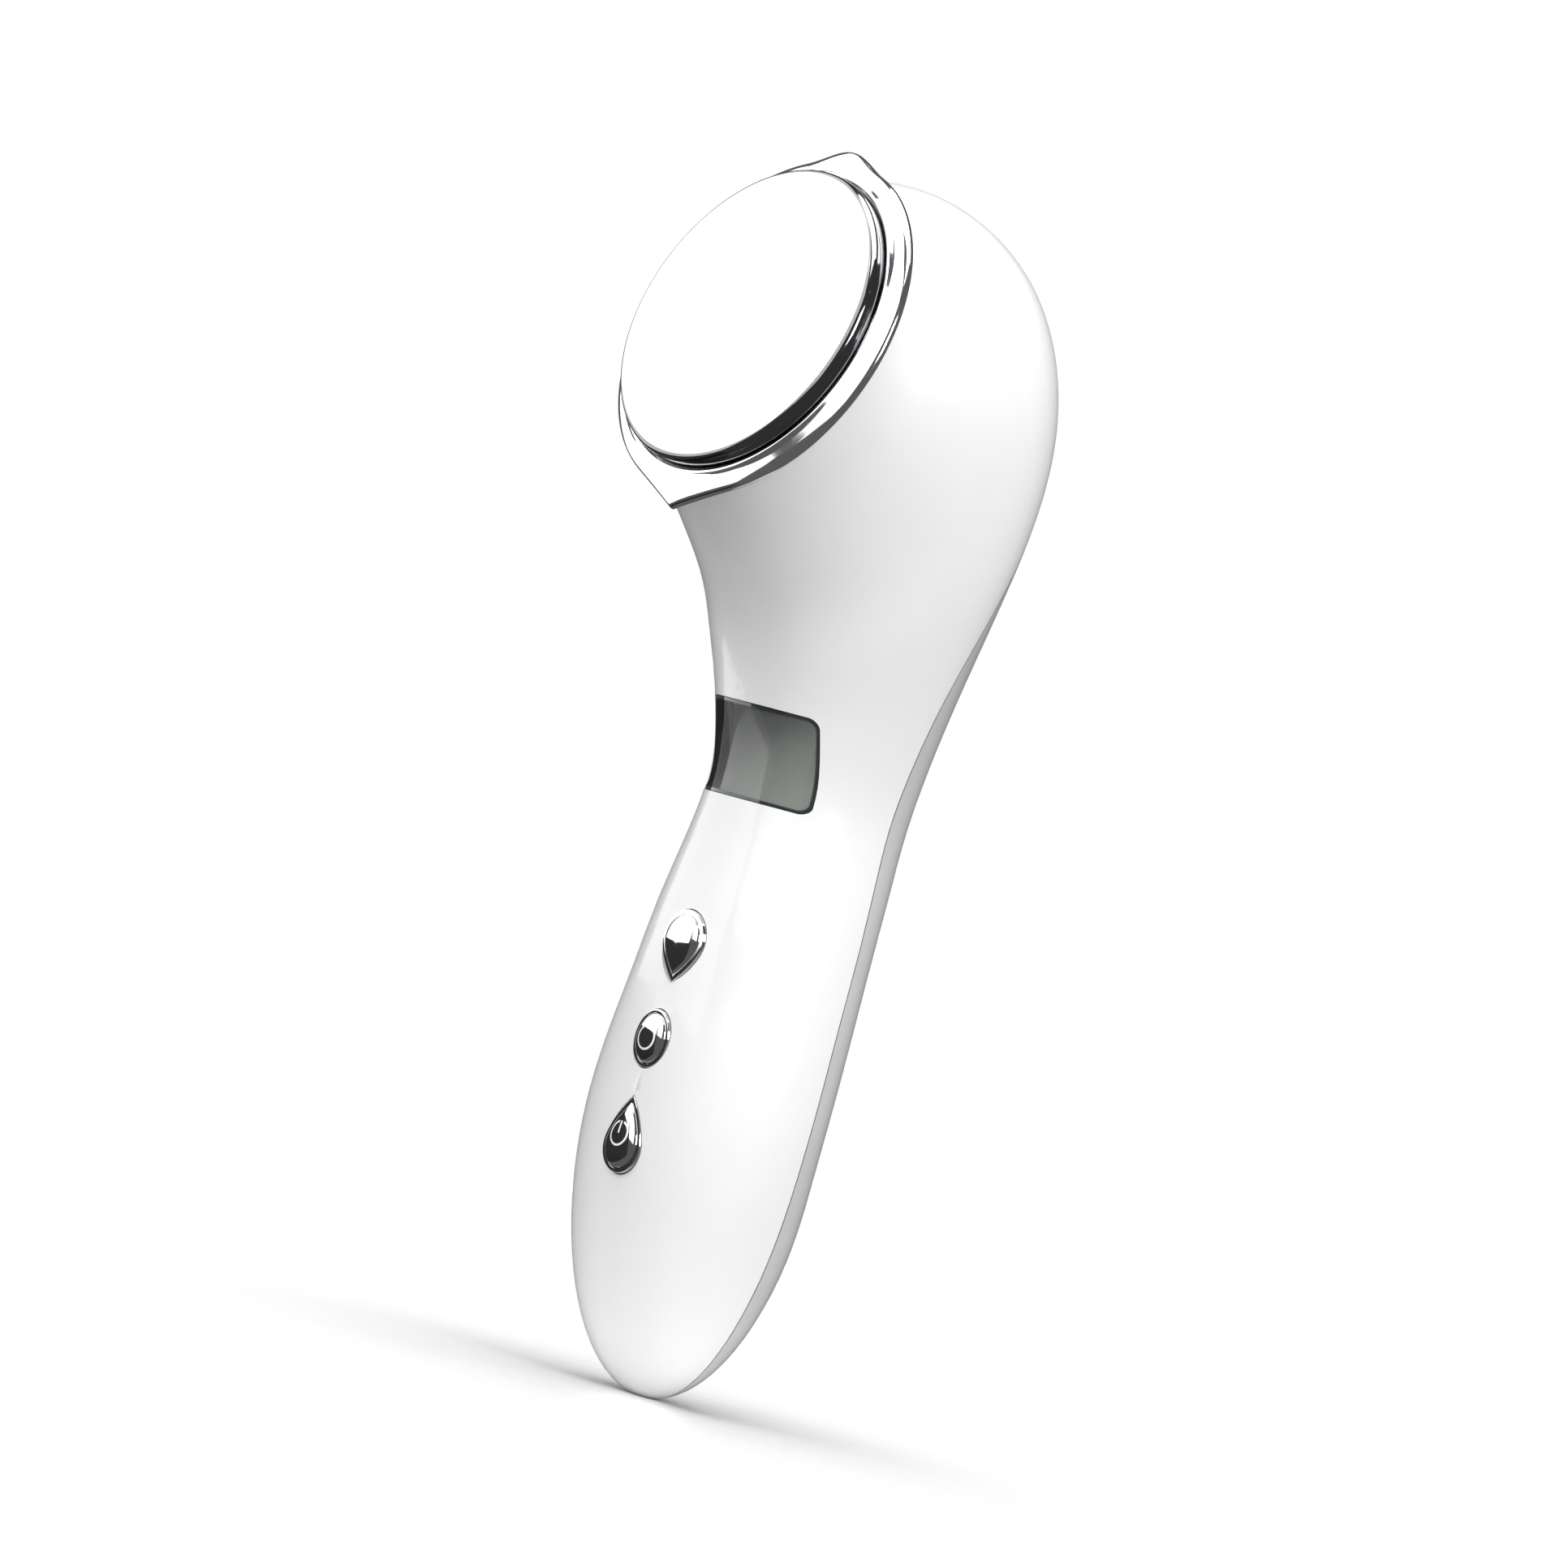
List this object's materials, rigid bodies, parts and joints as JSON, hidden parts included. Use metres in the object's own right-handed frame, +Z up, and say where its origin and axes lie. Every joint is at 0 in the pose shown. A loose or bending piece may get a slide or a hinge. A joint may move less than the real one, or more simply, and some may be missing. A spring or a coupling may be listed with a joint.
{
  "type": "facial massager",
  "caption": "Handheld facial massager: curved white handle, tilted round polished plate with chrome ring, display window and chrome push buttons.",
  "frame": {"origin": "centre of the grip, on the handle's axis (mount hand_grip)", "axes": "+Z up the handle towards the head, -Y the front with the plate, display and buttons, +X across the width"},
  "size_m": [0.0562, 0.0625, 0.1867],
  "materials": {
    "shell_white": "polished injection-moulded ABS",
    "chrome_trim": "bright chrome plating on ABS",
    "polished_steel": "mirror-polished stainless steel",
    "smoked_window": "smoked clear acrylic",
    "lcd_glass": "liquid-crystal glass with polariser",
    "milky_plastic": "diffusing acrylic",
    "silicone": "soft moulded silicone",
    "black_plastic": "moulded nylon",
    "board_green": "glass-epoxy board with solder mask",
    "zinc_steel": "zinc-plated steel",
    "ceramic_white": "piezo ceramic with silver electrode",
    "heater_amber": "polyimide film",
    "cell_wrap": "shrink-wrapped cell",
    "foam_grey": "closed-cell foam",
    "tungsten": "sintered heavy metal",
    "lead_sleeve": "insulated wire",
    "yellow_tape": "taped winding"
  },
  "bodies": {
    "handset": {"back_cover": "shell_white", "battery_leads": "lead_sleeve", "battery_pack": "cell_wrap", "battery_pad": "foam_grey", "board_screws": "zinc_steel", "button_switches": "black_plastic", "buzzer": "black_plastic", "charge_socket": "black_plastic", "controller_chip": "black_plastic", "display_window": "smoked_window", "driver_transformer": "yellow_tape", "front_shell": "shell_white", "head_leads": "lead_sleeve", "head_ring": "chrome_trim", "heater_film": "heater_amber", "lcd_backlight": "milky_plastic", "lcd_connector": "silicone", "lcd_panel": "lcd_glass", "main_board": "board_green", "motor_holder": "silicone", "motor_leads": "lead_sleeve", "piezo_disc": "ceramic_white", "plate_retainer": "black_plastic", "plate_seal": "silicone", "retainer_screws": "zinc_steel", "thermistor": "black_plastic", "treatment_plate": "polished_steel", "vibration_motor": "zinc_steel"},
    "mode_key": {"mode_button": "chrome_trim", "mode_switch_stem": "black_plastic"},
    "level_key": {"level_button": "chrome_trim", "level_switch_stem": "black_plastic"},
    "power_key": {"power_button": "chrome_trim", "power_switch_stem": "black_plastic"},
    "motor_rotor": {"motor_shaft": "zinc_steel", "eccentric_weight": "tungsten"}
  },
  "joints": [
    {"name": "mode_press", "type": "slide", "parent": "handset", "child": "mode_key", "axis": [0, 1, 0], "range_m": [0, 0.0006], "stiffness_N_per_m": 1500, "springref_m": -0.0005},
    {"name": "level_press", "type": "slide", "parent": "handset", "child": "level_key", "axis": [0, 1, 0], "range_m": [0, 0.0006], "stiffness_N_per_m": 1500, "springref_m": -0.0005},
    {"name": "power_press", "type": "slide", "parent": "handset", "child": "power_key", "axis": [0, 1, 0], "range_m": [0, 0.0006], "stiffness_N_per_m": 1500, "springref_m": -0.0005},
    {"name": "weight_spin", "type": "hinge", "parent": "handset", "child": "motor_rotor", "pos_m": [0, 0.006, 0.0807], "axis": [0, 0, 1], "continuous": true}
  ]
}
